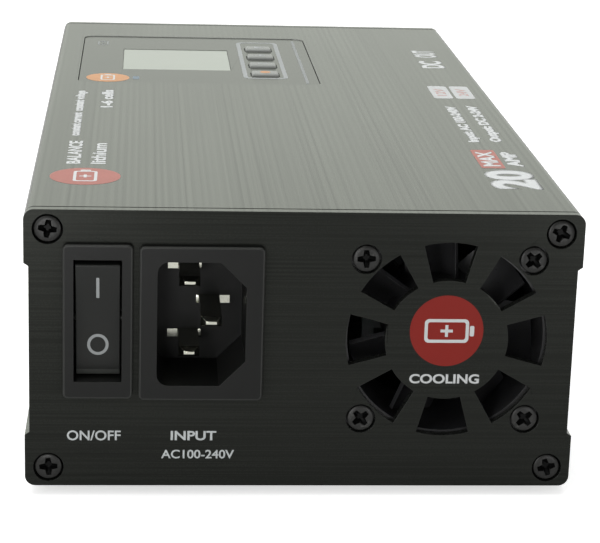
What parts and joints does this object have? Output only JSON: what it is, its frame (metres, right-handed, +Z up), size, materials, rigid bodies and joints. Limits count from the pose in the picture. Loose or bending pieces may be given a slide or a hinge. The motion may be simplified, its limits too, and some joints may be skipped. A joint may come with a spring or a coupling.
{
  "type": "balance battery charger",
  "caption": "Mains-powered charger in a flat extruded aluminium case, with a rocker switch, inlet and fan at one end, a display with keys on the lid and output sockets at the other end.",
  "frame": {"origin": "on the surface the charger stands on, under the middle of the case", "axes": "+Y from the mains end to the output end, +Z up, +X to the right for someone facing the mains end"},
  "size_m": [0.106, 0.2146, 0.0575],
  "materials": {
    "black_anodised": "brushed black anodised aluminium",
    "black_panel": "horizontally brushed black anodised aluminium",
    "black_steel": "black oxide steel",
    "rubber": "matt",
    "black_plastic": "fine satin moulded plastic",
    "fan_plastic": "moulded plastic",
    "bronze": "sintered bronze",
    "steel": "bright steel",
    "tinned_brass": "bright nickel-plated brass",
    "nickel": "nickel plate",
    "copper": "bare copper",
    "overlay": "dark glossy film",
    "lcd": "pale grey-green liquid crystal display",
    "white_plastic": "white moulded plastic",
    "key_rubber": "satin grey",
    "board": "green solder mask",
    "red_plastic": "glossy red moulded plastic",
    "header_plastic": "natural nylon",
    "sheet": "translucent film",
    "ferrite": "sintered ferrite",
    "winding": "yellow tape",
    "bobbin": "black moulded plastic",
    "heatsink": "extruded aluminium",
    "semiconductor": "moulded epoxy",
    "can": "shrink sleeve",
    "boxed_part": "yellow moulded box",
    "ribbon": "grey flat cable"
  },
  "bodies": {
    "case": {"balance_contacts": "tinned_brass", "balance_header": "header_plastic", "boost_choke_bobbin": "bobbin", "boost_choke_core": "ferrite", "boost_choke_winding": "winding", "bottom_shell": "black_anodised", "bridge_rectifier": "semiconductor", "bulk_capacitors": "can", "case_screws": "black_steel", "control_board": "board", "control_board_spacers": "tinned_brass", "control_card": "board", "display_cell": "lcd", "display_lamp_frame": "white_plastic", "display_overlay": "overlay", "display_ribbon": "ribbon", "fan_bearing": "bronze", "fan_frame": "fan_plastic", "fan_screws": "black_steel", "feet": "rubber", "filter_choke_bobbin": "bobbin", "filter_choke_core": "ferrite", "filter_choke_winding": "winding", "inlet_contacts": "tinned_brass", "inlet_housing": "black_plastic", "input_panel": "black_panel", "inrush_relay": "can", "insulating_sheet": "sheet", "main_board": "board", "mains_capacitor": "boxed_part", "mains_fuse": "bobbin", "negative_socket_collar": "black_plastic", "output_bus_bars": "copper", "output_capacitors": "can", "output_choke_bobbin": "bobbin", "output_choke_core": "ferrite", "output_choke_winding": "winding", "output_panel": "black_panel", "positive_socket_collar": "red_plastic", "primary_heatsink": "heatsink", "primary_transistors": "semiconductor", "secondary_heatsink": "heatsink", "secondary_rectifiers": "semiconductor", "socket_contacts": "nickel", "socket_nuts": "nickel", "switch_housing": "black_plastic", "switch_terminals": "tinned_brass", "tact_switches": "bobbin", "top_shell": "black_anodised", "transformer_bobbin": "bobbin", "transformer_core": "ferrite", "transformer_winding": "winding"},
    "rocker": {"switch_rocker": "black_plastic"},
    "impeller": {"fan_impeller": "fan_plastic", "fan_shaft": "steel"},
    "key_1": {"key_1": "key_rubber"},
    "key_2": {"key_2": "key_rubber"},
    "key_3": {"key_3": "key_rubber"},
    "key_4": {"key_4": "key_rubber"}
  },
  "joints": [
    {"name": "rocker_tilt", "type": "hinge", "parent": "case", "child": "rocker", "pos_m": [-0.0391, -0.10325, 0.0357], "axis": [-1, 0, 0], "range_deg": [0, 20]},
    {"name": "impeller_spin", "type": "hinge", "parent": "case", "child": "impeller", "pos_m": [0.0275, -0.093, 0.0319], "axis": [0, 1, 0], "continuous": true},
    {"name": "key_1_press", "type": "slide", "parent": "case", "child": "key_1", "axis": [0, 0, -1], "range_m": [0, 0.0005], "stiffness_N_per_m": 500, "springref_m": -0.0004},
    {"name": "key_2_press", "type": "slide", "parent": "case", "child": "key_2", "axis": [0, 0, -1], "range_m": [0, 0.0005], "stiffness_N_per_m": 500, "springref_m": -0.0004},
    {"name": "key_3_press", "type": "slide", "parent": "case", "child": "key_3", "axis": [0, 0, -1], "range_m": [0, 0.0005], "stiffness_N_per_m": 500, "springref_m": -0.0004},
    {"name": "key_4_press", "type": "slide", "parent": "case", "child": "key_4", "axis": [0, 0, -1], "range_m": [0, 0.0005], "stiffness_N_per_m": 500, "springref_m": -0.0004}
  ]
}
